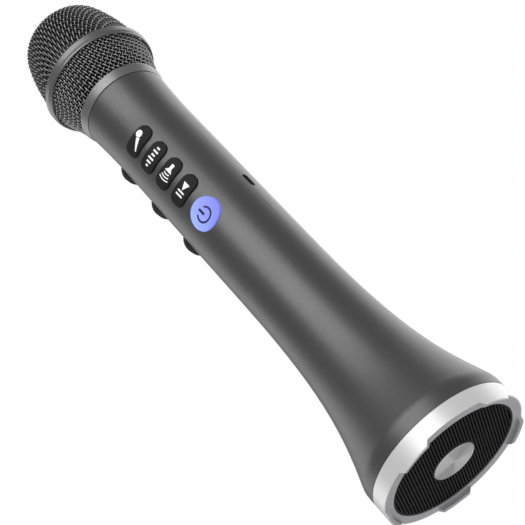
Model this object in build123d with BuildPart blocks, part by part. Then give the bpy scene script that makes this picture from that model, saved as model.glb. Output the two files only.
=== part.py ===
from build123d import *
from math import cos, pi, radians, sin
import os

# Karaoke microphone with a loudspeaker in its flared base.
# Millimetres, +Z up.  It stands on the five tabs of its base ring: the origin is the
# centre of the ring's lower end, the head is at the top and the button column faces -Y.
# Angles are about the Z axis, from +X towards +Y.

os.makedirs("parts", exist_ok=True)

# ---------------------------------------------------------------- driving dimensions
BASE_R = 31.0            # base ring, outside
GRIP_R = 18.7            # straight part of the handle
NECK_R = 19.65           # top of the handle
WALL = 1.6               # aluminium shell
RING_TOP = 8.5           # upper edge of the base ring
GRIP_START = 108.0       # the flare ends here
GRIP_END = 196.0         # the neck's slight flare starts here
CREASE_Z = 12.2          # the upright belt over the ring ends here
CREASE_R = 9.4           # and turns into the flare with this radius
CREASE_TURN = 18.5       # by this angle, in degrees
HANDLE_TOP = 219.8       # upper edge of the shell

TAB_COUNT = 5
TAB_HEIGHT = 1.8
TAB_ANGLE = 22.0         # width of a tab's standing face, in degrees
TAB_INNER_R = 29.1
LAND_INNER_R = 26.9      # the ring's end face between the tabs, inner edge

RIB_PITCH = 1.213
RIB_WIDTH = 0.65
RIB_ANGLE = -64.2        # direction of the grille's ribs
BADGE_R = 9.0

BUTTON_ANGLE = -90.0
SIDE_ANGLE = 77.5        # thumbwheels and charging port, each way from the buttons
BUTTON_PITCH = 11.3
BUTTON_Z = 154.8         # lowest of the four buttons
BUTTON_SIZE = (13.9, 7.7)
BUTTON_CORNER_R = 3.0
BUTTON_PROUD = 0.75      # how far a button stands out of the shell
BUTTON_GAP = 0.2
BUTTON_NAMES = ("play", "volume", "mode", "vocal")
POWER_Z = 139.4
POWER_R = 6.95
TRAVEL = 0.6             # key travel

WHEEL_R = 8.3
WHEEL_T = 3.0
WHEEL_CENTRE_R = 12.5    # distance of a thumbwheel's axle from the microphone's axis
WHEEL_Z = (145.5, 169.7, 193.8)
WHEEL_NAMES = ("music", "echo", "mic")
WHEEL_GAP = 0.3

PORT_Z = 142.9
PORT_SIZE = (7.6, 2.7)

COLLAR_BOTTOM = 220.2
COLLAR_TOP = 224.4
COLLAR_R = 20.75
CUP_FOOT_R = 20.5
BAND_BOTTOM = 240.4
BAND_TOP = 245.4
BAND_R = 26.7
DOME_R = 25.35
DOME_START = 243.0
MESH_T = 1.0
THREAD_R = 16.92
THREAD_PITCH = 1.5
THREAD_GAP = 0.08

SCREW_HOLE_R = 1.05
BOARD_T = 1.2            # the small boards
BAFFLE_TOP = 8.7         # the loudspeaker's baffle stands in the shell's lower end
FAR = 500                # longer than the microphone, for cuts right through it

# ---------------------------------------------------------------- derived values
BORE_R = GRIP_R - WALL
SKIRT_R = BASE_R - 1.8                 # lower end of the shell, inside the ring
SKIRT_BORE_R = SKIRT_R - WALL
SKIRT_BOTTOM = 4.2
LAND_Z = TAB_HEIGHT
LIP_TOP = 3.2                          # the ring's lip, under the grille
CROWN_R = GRIP_R + BUTTON_PROUD         # the buttons' faces follow the handle
BUTTON_LEVELS = [BUTTON_Z + i * BUTTON_PITCH for i in range(len(BUTTON_NAMES))]

# outer line of the flare, from the end of the crease up to the grip: (radius, height)
FLARE_DIRECTION = (-sin(radians(CREASE_TURN)), cos(radians(CREASE_TURN)))
CREASE_CENTRE = (BASE_R - CREASE_R, CREASE_Z)
FLARE = [(CREASE_CENTRE[0] + CREASE_R * FLARE_DIRECTION[1], CREASE_Z - CREASE_R * FLARE_DIRECTION[0]),
         (28.6, 21.0), (25.4, 32.0), (22.7, 44.5), (20.7, 59.0), (19.2, 80.0), (GRIP_R, GRIP_START)]


def inset(points, distance):
    """The same outline points, moved towards the axis."""
    return [(r - distance, z) for r, z in points]


def outline(*points):
    """A closed face of straight edges through (radius, height) points."""
    with BuildSketch(Plane.XZ) as face:
        with BuildLine():
            Polyline(*points, close=True)
        make_face()
    return face.sketch


def side_plane(angle, height, radius=0.0):
    """A plane across the direction `angle`: x is tangential, y is up, z points outwards."""
    a = radians(angle)
    outward = (cos(a), sin(a), 0)
    centre = (radius * cos(a), radius * sin(a), height)
    return Plane(origin=centre, x_dir=(-sin(a), cos(a), 0), z_dir=outward)


def edge_plane(angle, height, radius, offset=0.0):
    """A plane that holds the axis's direction: x points outwards, y is up."""
    a = radians(angle)
    centre = (radius * cos(a) + offset * sin(a), radius * sin(a) - offset * cos(a), height)
    return Plane(origin=centre, x_dir=(cos(a), sin(a), 0), z_dir=(sin(a), -cos(a), 0))


def button_outline(margin):
    """A button's outline with an even margin round it."""
    with BuildSketch() as face:
        RectangleRounded(BUTTON_SIZE[0] + 2 * margin, BUTTON_SIZE[1] + 2 * margin, BUTTON_CORNER_R + margin)
    return face.sketch


def save(builder, name):
    builder.part.label = name
    export_step(builder.part, f"parts/{name}.step")


def save_all(solids, name):
    """Several separate solids of one kind in one node."""
    group = Compound(label=name, children=solids)
    export_step(group, f"parts/{name}.step")


WHEEL_ANGLE = BUTTON_ANGLE - SIDE_ANGLE
PORT_ANGLE = BUTTON_ANGLE + SIDE_ANGLE

# ================================================================ handle
# ---- aluminium shell, turned and bored, with the openings for the controls
CUT_START_R = 12.0       # the openings are cut outwards from here
CUT_DEPTH = 10.0
NECK_SLOPE = 0.06
with BuildPart() as housing:
    with BuildSketch(Plane.XZ):
        with BuildLine():
            Polyline((SKIRT_BORE_R, SKIRT_BOTTOM), (SKIRT_R, SKIRT_BOTTOM), (SKIRT_R, RING_TOP),
                     (BASE_R, RING_TOP), (BASE_R, CREASE_Z))
            CenterArc(CREASE_CENTRE, CREASE_R, 0, CREASE_TURN)
            Spline(*FLARE, tangents=(FLARE_DIRECTION, (0, 1)))
            Line(FLARE[-1], (GRIP_R, GRIP_END))
            Spline((GRIP_R, GRIP_END), (NECK_R, HANDLE_TOP), tangents=((0, 1), (NECK_SLOPE, 1)))
            Polyline((NECK_R, HANDLE_TOP), (BORE_R, HANDLE_TOP), (BORE_R, GRIP_START))
            Spline(*reversed(inset(FLARE, WALL)), tangents=((0, -1), (-FLARE_DIRECTION[0], -FLARE_DIRECTION[1])))
            Polyline((FLARE[0][0] - WALL, FLARE[0][1]), (BASE_R - WALL, CREASE_Z),
                     (SKIRT_BORE_R, BAFFLE_TOP), (SKIRT_BORE_R, SKIRT_BOTTOM))
        make_face()
    revolve(axis=Axis.Z)
    chamfer(housing.edges().filter_by(GeomType.CIRCLE).group_by(Axis.Z)[-1].sort_by(SortBy.RADIUS)[-1],
            length=0.15)
    for level in BUTTON_LEVELS:
        with BuildSketch(side_plane(BUTTON_ANGLE, level, CUT_START_R)):
            add(button_outline(BUTTON_GAP))
        extrude(amount=CUT_DEPTH, mode=Mode.SUBTRACT)
    with BuildSketch(side_plane(BUTTON_ANGLE, POWER_Z, CUT_START_R)):
        Circle(POWER_R + BUTTON_GAP)
    extrude(amount=CUT_DEPTH, mode=Mode.SUBTRACT)
    for level in WHEEL_Z:
        with BuildSketch(edge_plane(WHEEL_ANGLE, level, WHEEL_CENTRE_R)):
            Circle(WHEEL_R + WHEEL_GAP)
        extrude(amount=WHEEL_T / 2 + WHEEL_GAP, both=True, mode=Mode.SUBTRACT)
    with BuildSketch(side_plane(PORT_ANGLE, PORT_Z, CUT_START_R)):
        SlotOverall(*PORT_SIZE, rotation=90)
    extrude(amount=CUT_DEPTH, mode=Mode.SUBTRACT)
save(housing, "housing")

# ---- chassis: the half-tube tray that carries the boards and the battery
CHASSIS_R = 16.6
CHASSIS_T = 1.4
PLATE_T = 2.8            # plate at the chassis's upper end
CHASSIS_Z = (45.5, 204.0)
CHASSIS_EDGE_Y = 4.3     # the half tube lies behind this
PLATE_EDGE_Y = 7.5
SCREW_POINTS = [(-9.3, 9.3), (9.3, 9.3)]
SLOT_LEVELS = (60, 82, 104, 136, 160, 182)
SLOT_SIZE = (14, 6)
with BuildPart() as chassis:
    with BuildSketch(Plane.XY.offset(CHASSIS_Z[0])):
        Circle(CHASSIS_R)
        Circle(CHASSIS_R - CHASSIS_T, mode=Mode.SUBTRACT)
        with Locations((0, CHASSIS_EDGE_Y - CHASSIS_R)):
            Rectangle(3 * CHASSIS_R, 2 * CHASSIS_R, mode=Mode.SUBTRACT)
    extrude(amount=CHASSIS_Z[1] - CHASSIS_Z[0])
    with BuildSketch(Plane.XY.offset(CHASSIS_Z[1] - PLATE_T)):
        Circle(CHASSIS_R - CHASSIS_T / 2)
        with Locations((0, PLATE_EDGE_Y - CHASSIS_R)):
            Rectangle(3 * CHASSIS_R, 2 * CHASSIS_R, mode=Mode.SUBTRACT)
        with Locations(*SCREW_POINTS):
            Circle(SCREW_HOLE_R, mode=Mode.SUBTRACT)
    extrude(amount=PLATE_T)
    with BuildSketch(Plane.XZ.offset(-CHASSIS_R - CHASSIS_T)):
        with Locations(*[(0, level) for level in SLOT_LEVELS]):
            SlotOverall(*SLOT_SIZE, rotation=90)
    extrude(amount=6 * CHASSIS_T, mode=Mode.SUBTRACT)
save(chassis, "chassis")

SCREW_R = 1.0
SCREW_LENGTH = 9.0
SCREW_HEAD = (1.9, 1.4)  # radius and height
CROSS_SLOT = (2.4, 0.5, 1.0)
with BuildPart() as screw:
    with Locations((0, 0, CHASSIS_Z[1] - PLATE_T)):
        Cylinder(*SCREW_HEAD, align=(Align.CENTER, Align.CENTER, Align.MAX))
        Cylinder(SCREW_R, SCREW_LENGTH, align=(Align.CENTER, Align.CENTER, Align.MIN))
    with Locations((0, 0, CHASSIS_Z[1] - PLATE_T - SCREW_HEAD[1])):
        for turn in (0, 90):
            Box(*CROSS_SLOT, rotation=(0, 0, turn), mode=Mode.SUBTRACT)
save_all([screw.part.moved(Location((x, y, 0))) for x, y in SCREW_POINTS], "chassis_screws")

# ---- battery: cell, tray and welded tabs
CELL_R = 9.2
CELL_Y = 4.5
CELL_Z = (50.0, 116.0)
TERMINAL = (3.0, 1.2)    # radius and height of the cell's raised contact
with BuildPart() as battery_cell:
    with Locations((0, CELL_Y, CELL_Z[0])):
        Cylinder(CELL_R, CELL_Z[1] - CELL_Z[0] - TERMINAL[1], align=(Align.CENTER, Align.CENTER, Align.MIN))
    fillet(battery_cell.edges().filter_by(GeomType.CIRCLE), radius=0.6)
    with Locations((0, CELL_Y, CELL_Z[1] - TERMINAL[1])):
        Cylinder(*TERMINAL, align=(Align.CENTER, Align.CENTER, Align.MIN))
save(battery_cell, "battery_cell")

TRAY_WALL = 1.8
END_GAP = 0.4            # room for a welded tab at each end of the cell
TRAY_BOTTOM = CELL_Z[0] - TRAY_WALL - END_GAP
TRAY_LENGTH = CELL_Z[1] - CELL_Z[0] + 2 * (TRAY_WALL + END_GAP)
TRAY_WINDOWS = (61, 83, 105)
with BuildPart() as battery_tray:
    with BuildSketch(Plane.XY.offset(TRAY_BOTTOM)):
        Circle(CHASSIS_R - CHASSIS_T)
        with Locations((0, CELL_Y - 2 * CHASSIS_R)):
            Rectangle(3 * CHASSIS_R, 4 * CHASSIS_R, mode=Mode.SUBTRACT)
    extrude(amount=TRAY_LENGTH)
    with Locations((0, CELL_Y, CELL_Z[0] - END_GAP)):
        Cylinder(CELL_R + 0.1, CELL_Z[1] - CELL_Z[0] + 2 * END_GAP,
                 align=(Align.CENTER, Align.CENTER, Align.MIN), mode=Mode.SUBTRACT)
    with BuildSketch(Plane.XZ.offset(-13)):
        with Locations(*[(0, level) for level in TRAY_WINDOWS]):
            Rectangle(40, 14)
    extrude(amount=20, mode=Mode.SUBTRACT)
    with BuildSketch(Plane.XY.offset(TRAY_BOTTOM)):
        with Locations((0, 14.15)):
            Rectangle(9, 0.7)
    extrude(amount=TRAY_LENGTH)
save(battery_tray, "battery_tray")

WELD_TAB = (5.0, 8.0, 0.3)
weld_tabs = []
for height in (CELL_Z[0] - END_GAP / 2, CELL_Z[1] + END_GAP / 2):
    with BuildPart() as weld_tab:
        with Locations((0, CELL_Y, height)):
            Box(*WELD_TAB)
    weld_tabs.append(weld_tab.part)
save_all(weld_tabs, "battery_tabs")

# ---- main board with its parts
BOARD_Y = (-10.6, -9.0)
BOARD_Z = (122.0, 199.0)
BOARD_W = 25.0
BOARD_HOLES = (18.0, 69.0)             # spacing across and along
with BuildPart() as main_board:
    with BuildSketch(Plane.XZ.offset(-BOARD_Y[1])):
        with Locations((0, sum(BOARD_Z) / 2)):
            RectangleRounded(BOARD_W, BOARD_Z[1] - BOARD_Z[0], 1.5)
            with GridLocations(*BOARD_HOLES, 2, 2):
                Circle(SCREW_HOLE_R, mode=Mode.SUBTRACT)
    extrude(amount=BOARD_Y[1] - BOARD_Y[0])
save(main_board, "main_board")

# the board's parts: across, up, width, height, thickness
CHIPS = [(5.5, 140.0, 7.0, 7.0, 1.0), (-5.5, 133.0, 5.0, 6.0, 1.2), (6.5, 155.0, 4.0, 5.0, 1.4),
         (5.0, 171.0, 9.0, 12.0, 1.8), (-6.5, 156.0, 4.0, 4.0, 1.4), (-6.0, 181.0, 5.0, 3.2, 1.2)]
chips = []
for x, z, width, height, thickness in CHIPS:
    with BuildPart() as chip:
        with Locations((x, BOARD_Y[1] + thickness / 2, z)):
            Box(width, thickness, height)
    chips.append(chip.part)
save_all(chips, "board_chips")

SWITCH_TOP = -13.2
SWITCH_HOLE_R = 1.8
SWITCH_HOLE_DEPTH = 1.9
SWITCH_W = 6.0
switches = []
for level in [POWER_Z] + BUTTON_LEVELS:
    with BuildPart() as switch:
        with Locations((0, (SWITCH_TOP + BOARD_Y[0]) / 2, level)):
            Box(SWITCH_W, BOARD_Y[0] - SWITCH_TOP, SWITCH_W)
        with BuildSketch(side_plane(BUTTON_ANGLE, level, -SWITCH_TOP)):
            Circle(SWITCH_HOLE_R)
        extrude(amount=-SWITCH_HOLE_DEPTH, mode=Mode.SUBTRACT)
    switches.append(switch.part)
save_all(switches, "tact_switches")

LED_SIZE = (1.6, 0.9, 2.8)
LED_X = 4.6
leds = []
for x in (-LED_X, LED_X):
    with BuildPart() as led:
        with Locations((x, BOARD_Y[0] - LED_SIZE[1] / 2, POWER_Z)):
            Box(*LED_SIZE)
    leds.append(led.part)
save_all(leds, "power_leds")


# ---- button caps and the switch stems that travel with them
def cap(face, rear, flange):
    """A key cap: its crown and, behind the shell, a flange that keeps it in."""
    with BuildPart() as key:
        with BuildSketch(rear):
            add(flange)
        extrude(amount=8)
        Cylinder(BORE_R - 0.1, FAR, mode=Mode.INTERSECT)
        with BuildSketch(rear):
            add(face)
        extrude(amount=8)
        Cylinder(CROWN_R, FAR, mode=Mode.INTERSECT)
    return key


def stem(level, rear_y):
    """A switch stem, from inside the switch to the back of its cap."""
    foot = SWITCH_TOP + 2 * TRAVEL
    with BuildPart() as pin:
        with BuildSketch(side_plane(BUTTON_ANGLE, level, -foot)):
            Circle(SWITCH_HOLE_R - 0.08)
        extrude(amount=foot - rear_y)
    return pin


FLANGE = 0.8
CAP_REAR_Y = -14.8
for name, level in zip(BUTTON_NAMES, BUTTON_LEVELS):
    rear = side_plane(BUTTON_ANGLE, level, -CAP_REAR_Y)
    button = cap(button_outline(0), rear, button_outline(FLANGE))
    top = button.faces().filter_by(GeomType.CYLINDER).sort_by(SortBy.AREA)[-1]
    fillet(top.edges(), radius=0.3)
    save(button, f"{name}_button")
    save(stem(level, CAP_REAR_Y), f"{name}_stem")

POWER_REAR_Y = -14.0
with BuildSketch() as crown:
    Circle(POWER_R)
with BuildSketch() as rim:
    Circle(POWER_R + FLANGE)
power = cap(crown.sketch, side_plane(BUTTON_ANGLE, POWER_Z, -POWER_REAR_Y), rim.sketch)
save(power, "power_button")
save(stem(POWER_Z, POWER_REAR_Y), "power_stem")

# ---- thumbwheels, the potentiometers that they turn, and their board
SHAFT_R = 1.5
POT_R = 3.8
POT_T = 2.4
POT_GAP = 0.2
POT_FACE = WHEEL_T / 2 + POT_GAP       # the pots stand on the side away from the buttons
KNURLS = 44
KNURL_R = 0.32
DISH_DEPTH = 0.5         # the hollow in a wheel's side, between rim and hub
pots = []
for name, level in zip(WHEEL_NAMES, WHEEL_Z):
    with BuildPart() as wheel:
        with BuildSketch(edge_plane(WHEEL_ANGLE, level, WHEEL_CENTRE_R)):
            Circle(WHEEL_R)
            with PolarLocations(WHEEL_R + 0.12, KNURLS):
                Circle(KNURL_R, mode=Mode.SUBTRACT)
            Circle(SHAFT_R + 0.05, mode=Mode.SUBTRACT)
        extrude(amount=WHEEL_T / 2, both=True)
        with BuildSketch(edge_plane(WHEEL_ANGLE, level, WHEEL_CENTRE_R, -WHEEL_T / 2)):
            Circle(WHEEL_R - 1.4)
            Circle(SHAFT_R + 1.1, mode=Mode.SUBTRACT)
        extrude(amount=DISH_DEPTH, mode=Mode.SUBTRACT)
    save(wheel, f"{name}_wheel")
    with BuildPart() as pot:
        with BuildSketch(edge_plane(WHEEL_ANGLE, level, WHEEL_CENTRE_R, POT_FACE)):
            Circle(POT_R)
            with Locations((-3.2, 0)):
                Rectangle(5.6, 7.2)
        extrude(amount=POT_T)
        with BuildSketch(edge_plane(WHEEL_ANGLE, level, WHEEL_CENTRE_R, POT_FACE)):
            Circle(SHAFT_R)
        extrude(amount=0.3 - POT_FACE - WHEEL_T / 2)
    pots.append(pot.part)
save_all(pots, "wheel_pots")

with BuildPart() as wheel_board:
    with BuildSketch(edge_plane(WHEEL_ANGLE, 170.0, 9.4, POT_FACE + POT_T)):
        RectangleRounded(12.6, 66.0, 1.0)
    extrude(amount=BOARD_T)
save(wheel_board, "wheel_board")

# ---- charging socket on its own small board
SOCKET_DEPTH = 5.4
SOCKET_SIZE = (7.3, 2.4)
with BuildPart() as charge_socket:
    with BuildSketch(side_plane(PORT_ANGLE, PORT_Z, BORE_R - 0.2)):
        RectangleRounded(SOCKET_SIZE[1], SOCKET_SIZE[0], 0.5)
    extrude(amount=-SOCKET_DEPTH)
    with BuildSketch(side_plane(PORT_ANGLE, PORT_Z, BORE_R - 0.2)):
        RectangleRounded(SOCKET_SIZE[1] - 0.6, SOCKET_SIZE[0] - 0.6, 0.3)
        Rectangle(0.6, SOCKET_SIZE[0] - 2.2, mode=Mode.SUBTRACT)
    extrude(amount=0.8 - SOCKET_DEPTH, mode=Mode.SUBTRACT)
save(charge_socket, "charge_socket")

with BuildPart() as port_board:
    with BuildSketch(edge_plane(PORT_ANGLE, PORT_Z, 12.4, SOCKET_SIZE[1] / 2)):
        RectangleRounded(8.0, 18.0, 1.0)
    extrude(amount=BOARD_T)
save(port_board, "port_board")

# ================================================================ base with the loudspeaker
# ---- base ring with its five tabs
TAB_TOP_W = 2 * BASE_R * sin(radians(TAB_ANGLE / 2))
with BuildPart() as tab_block:
    with BuildSketch(Plane.XZ):
        with Locations((0, TAB_HEIGHT / 2)):
            Trapezoid(TAB_TOP_W + 2 * TAB_HEIGHT, TAB_HEIGHT, 45, rotation=180)
    extrude(amount=BASE_R + 5)
with BuildPart() as tabs:
    with PolarLocations(0, TAB_COUNT):
        add(tab_block.part)
    revolve(outline((TAB_INNER_R, 0.3), (TAB_INNER_R + 0.3, 0), (BASE_R - 0.3, 0), (BASE_R, 0.3),
                    (BASE_R, TAB_HEIGHT), (TAB_INNER_R, TAB_HEIGHT)), axis=Axis.Z, mode=Mode.INTERSECT)
with BuildPart() as base_ring:
    revolve(outline((LAND_INNER_R, LAND_Z), (BASE_R, LAND_Z), (BASE_R, RING_TOP - 0.3),
                    (BASE_R - 0.3, RING_TOP), (SKIRT_R + 0.05, RING_TOP), (SKIRT_R + 0.05, LIP_TOP),
                    (LAND_INNER_R, LIP_TOP)), axis=Axis.Z)
    add(tabs.part)
save(base_ring, "base_ring")

# ---- ribbed grille
GRILLE_FACE = LAND_Z + 0.2
GRILLE_R = LAND_INNER_R - 0.1
GRILLE_FLANGE_R = SKIRT_R - 0.1
HUB_FACE = GRILLE_FACE + 0.1           # the hub and the rim stand back from the ribs
HUB_R = BADGE_R + 0.6
RIM_INNER_R = GRILLE_R - 0.8
RIB_TOP = LIP_TOP - 0.2
RIB_COUNT = int(2 * RIM_INNER_R / RIB_PITCH)
CROSS_BARS = 5
CROSS_PITCH = 9.0
with BuildPart() as speaker_grille:
    with BuildSketch(Plane.XY.offset(GRILLE_FACE)):
        with Locations(Location((0, 0, 0), (0, 0, RIB_ANGLE))):
            with GridLocations(0, RIB_PITCH, 1, RIB_COUNT):
                Rectangle(2 * GRILLE_R, RIB_WIDTH)
        Circle(RIM_INNER_R + 0.2, mode=Mode.INTERSECT)
        Circle(HUB_R - 0.2, mode=Mode.SUBTRACT)
    extrude(amount=RIB_TOP - GRILLE_FACE)
    with BuildSketch(Plane.XY.offset(HUB_FACE)):
        Circle(GRILLE_R)
        Circle(RIM_INNER_R, mode=Mode.SUBTRACT)
        Circle(HUB_R)
    extrude(amount=LIP_TOP - HUB_FACE)
    with BuildSketch(Plane.XY.offset(RIB_TOP)):
        with Locations(Location((0, 0, 0), (0, 0, RIB_ANGLE + 90))):
            with GridLocations(0, CROSS_PITCH, 1, CROSS_BARS):
                Rectangle(2 * GRILLE_R, 1.2)
        Circle(RIM_INNER_R + 0.2, mode=Mode.INTERSECT)
    extrude(amount=SKIRT_BOTTOM - RIB_TOP)
    with BuildSketch(Plane.XY.offset(LIP_TOP)):
        Circle(GRILLE_FLANGE_R)
        Circle(RIM_INNER_R - 0.8, mode=Mode.SUBTRACT)
    extrude(amount=SKIRT_BOTTOM - LIP_TOP)
save(speaker_grille, "speaker_grille")

with BuildPart() as grille_badge:
    revolve(outline((0, HUB_FACE), (BADGE_R, HUB_FACE), (BADGE_R, GRILLE_FACE - 0.3),
                    (BADGE_R - 0.3, GRILLE_FACE - 0.6), (0, GRILLE_FACE - 0.45)), axis=Axis.Z)
save(grille_badge, "grille_badge")

CLOTH_TOP = SKIRT_BOTTOM + 0.3
with BuildPart() as dust_cloth:
    with Locations((0, 0, SKIRT_BOTTOM)):
        Cylinder(SKIRT_BORE_R - 0.2, CLOTH_TOP - SKIRT_BOTTOM, align=(Align.CENTER, Align.CENTER, Align.MIN))
save(dust_cloth, "dust_cloth")

# ---- loudspeaker driver, facing down, on its baffle
FLANGE_Z = (6.0, 7.2)
BAFFLE_R = 23.2          # its opening
DRIVER_SCREW_R = 24.6    # the screws' circle
CONE_R = 18.4
COIL_R = 7.7
with BuildPart() as speaker_gasket:
    revolve(outline((23.0, CLOTH_TOP), (SKIRT_BORE_R - 0.2, CLOTH_TOP), (SKIRT_BORE_R - 0.2, FLANGE_Z[0]),
                    (23.0, FLANGE_Z[0])), axis=Axis.Z)
save(speaker_gasket, "speaker_gasket")

with BuildPart() as speaker_baffle:
    with BuildSketch(Plane.XY.offset(FLANGE_Z[1])):
        Circle(SKIRT_BORE_R - 0.1)
        Circle(BAFFLE_R, mode=Mode.SUBTRACT)
        with PolarLocations(DRIVER_SCREW_R, 4, start_angle=45):
            Circle(0.8, mode=Mode.SUBTRACT)
    extrude(amount=BAFFLE_TOP - FLANGE_Z[1])
save(speaker_baffle, "speaker_baffle")

with BuildPart() as driver_frame:
    revolve(outline((22.4, FLANGE_Z[0]), (26.2, FLANGE_Z[0]), (26.2, FLANGE_Z[1]), (BAFFLE_R, FLANGE_Z[1]),
                    (17.0, 17.0), (13.4, 17.0), (13.4, 16.0), (16.4, 16.0), (22.4, FLANGE_Z[1])), axis=Axis.Z)
    with BuildSketch(Plane.XY.offset(9.0)):
        with PolarLocations(19.6, 4):
            RectangleRounded(9.0, 15.0, 2.0)
    extrude(amount=5.5, mode=Mode.SUBTRACT)
    with BuildSketch(Plane.XY.offset(FLANGE_Z[0])):
        with PolarLocations(DRIVER_SCREW_R, 4, start_angle=45):
            Circle(SCREW_HOLE_R)
    extrude(amount=FLANGE_Z[1] - FLANGE_Z[0], mode=Mode.SUBTRACT)
save(driver_frame, "driver_frame")

with BuildPart() as cone_surround:
    with BuildSketch(Plane.XZ):
        with BuildLine():
            ThreePointArc((CONE_R + 0.3, 7.0), (20.5, 5.2), (22.3, 7.0))
            Line((22.3, 7.0), (21.8, 7.0))
            ThreePointArc((21.8, 7.0), (20.5, 5.7), (CONE_R + 0.8, 7.0))
            Line((CONE_R + 0.8, 7.0), (CONE_R + 0.3, 7.0))
        make_face()
    revolve(axis=Axis.Z)
save(cone_surround, "cone_surround")

with BuildPart() as speaker_cone:
    revolve(outline((COIL_R + 0.4, 14.0), (CONE_R + 0.2, 6.6), (CONE_R + 0.2, 7.2), (COIL_R + 0.4, 14.7)),
            axis=Axis.Z)
save(speaker_cone, "speaker_cone")

CAP_R = 15.0
CAP_SPREAD = 31.0
CAP_CENTRE = (0, 26.4)
with BuildPart() as dust_cap:
    with BuildSketch(Plane.XZ):
        with BuildLine():
            front = CenterArc(CAP_CENTRE, CAP_R, -90, CAP_SPREAD)
            back = CenterArc(CAP_CENTRE, CAP_R - 0.5, -90, CAP_SPREAD)
            Line(front @ 0, back @ 0)
            Line(front @ 1, back @ 1)
        make_face()
    revolve(axis=Axis.Z)
save(dust_cap, "dust_cap")

with BuildPart() as voice_coil:
    revolve(outline((COIL_R, 14.0), (COIL_R + 0.35, 14.0), (COIL_R + 0.35, 21.5), (COIL_R, 21.5)), axis=Axis.Z)
save(voice_coil, "voice_coil")

with BuildPart() as driver_magnet:
    revolve(outline((8.4, 17.0), (15.0, 17.0), (15.0, 19.0), (16.2, 19.0), (16.2, 25.5), (15.6, 25.5),
                    (15.6, 28.0), (0, 28.0), (0, 18.0), (7.2, 18.0), (7.2, 25.0), (10.0, 25.0),
                    (10.0, 19.0), (8.4, 19.0)), axis=Axis.Z)
save(driver_magnet, "driver_magnet")

driver_screws = []
for angle in (45, 135, 225, 315):
    x = DRIVER_SCREW_R * cos(radians(angle))
    y = DRIVER_SCREW_R * sin(radians(angle))
    with BuildPart() as driver_screw:
        with Locations((x, y, FLANGE_Z[0] + 0.6)):
            Cylinder(1.0, 0.6, align=(Align.CENTER, Align.CENTER, Align.MIN))
        with Locations((x, y, FLANGE_Z[1])):
            Cylinder(0.75, 4.2, align=(Align.CENTER, Align.CENTER, Align.MIN))
    driver_screws.append(driver_screw.part)
save_all(driver_screws, "driver_screws")

# ---- bulkhead that closes the speaker's air chamber
BULKHEAD_Z = (43.0, 45.5)
BULKHEAD_R = 19.6
SEAL_R = 20.8
LEAD_HOLE = (8.0, -9.8)
with BuildPart() as bulkhead:
    with BuildSketch(Plane.XY.offset(BULKHEAD_Z[0])):
        Circle(BULKHEAD_R)
        with Locations(LEAD_HOLE):
            Circle(1.2, mode=Mode.SUBTRACT)
    extrude(amount=BULKHEAD_Z[1] - BULKHEAD_Z[0])
save(bulkhead, "bulkhead")

with BuildPart() as bulkhead_seal:
    revolve(outline((BULKHEAD_R, BULKHEAD_Z[0]), (SEAL_R, BULKHEAD_Z[0]), (SEAL_R, BULKHEAD_Z[1]),
                    (BULKHEAD_R, BULKHEAD_Z[1])), axis=Axis.Z)
save(bulkhead_seal, "bulkhead_seal")

# ================================================================ neck and capsule
KEY_W = 1.6
INSERT_BOTTOM = CHASSIS_Z[1]
INSERT_BORE_R = 11.0
INSERT_TOP = HANDLE_TOP - 0.4
CHAMBER_TOP = 214.0      # the wider bore ends here
SPIGOT_TOP = 229.0
SPIGOT_CORE_R = 16.2
SPIGOT_BORE_R = 8.0
with BuildPart() as neck_insert:
    revolve(outline((INSERT_BORE_R, INSERT_BOTTOM), (BORE_R - 0.05, INSERT_BOTTOM), (BORE_R - 0.05, INSERT_TOP),
                    (SPIGOT_CORE_R, INSERT_TOP), (SPIGOT_CORE_R, SPIGOT_TOP), (SPIGOT_BORE_R, SPIGOT_TOP),
                    (SPIGOT_BORE_R, CHAMBER_TOP), (INSERT_BORE_R, CHAMBER_TOP)), axis=Axis.Z)
    for turn in range(5):
        z = HANDLE_TOP + 1.2 + turn * THREAD_PITCH
        revolve(outline((SPIGOT_CORE_R - 0.1, z), (SPIGOT_CORE_R, z), (THREAD_R, z + 0.45),
                        (THREAD_R, z + 0.75), (SPIGOT_CORE_R, z + 1.2), (SPIGOT_CORE_R - 0.1, z + 1.2)),
                axis=Axis.Z)
    with BuildSketch(Plane.XY.offset(INSERT_TOP)):
        with PolarLocations(THREAD_R, 2):
            Rectangle(2.6, KEY_W)
    extrude(amount=20, mode=Mode.SUBTRACT)
    with BuildSketch(Plane.XY.offset(INSERT_BOTTOM)):
        with Locations(*SCREW_POINTS):
            Circle(SCREW_HOLE_R)
    extrude(amount=SCREW_LENGTH - 2, mode=Mode.SUBTRACT)
save(neck_insert, "neck_insert")

with BuildPart() as neck_washer:
    with BuildSketch(Plane.XY.offset(HANDLE_TOP)):
        Circle(NECK_R - 0.1)
        Circle(THREAD_R + THREAD_GAP, mode=Mode.SUBTRACT)
        with PolarLocations(THREAD_R - 0.1, 2):
            Rectangle(1.8, KEY_W - 0.2)
    extrude(amount=COLLAR_BOTTOM - HANDLE_TOP)
save(neck_washer, "neck_washer")

CAPSULE_R = 10.5
CAPSULE_Z = (236.0, 256.0)
CRADLE_R = (8.2, 12.8, 14.5)           # bore, cup and foot
CRADLE_TOP = 243.0
with BuildPart() as capsule_cradle:
    revolve(outline((CRADLE_R[0], SPIGOT_TOP), (CRADLE_R[2], SPIGOT_TOP), (CRADLE_R[2], SPIGOT_TOP + 2.2),
                    (CRADLE_R[1], SPIGOT_TOP + 4), (CRADLE_R[1], CRADLE_TOP), (CAPSULE_R, CRADLE_TOP),
                    (CAPSULE_R, CAPSULE_Z[0]), (CRADLE_R[0], CAPSULE_Z[0])), axis=Axis.Z)
save(capsule_cradle, "capsule_cradle")

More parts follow.
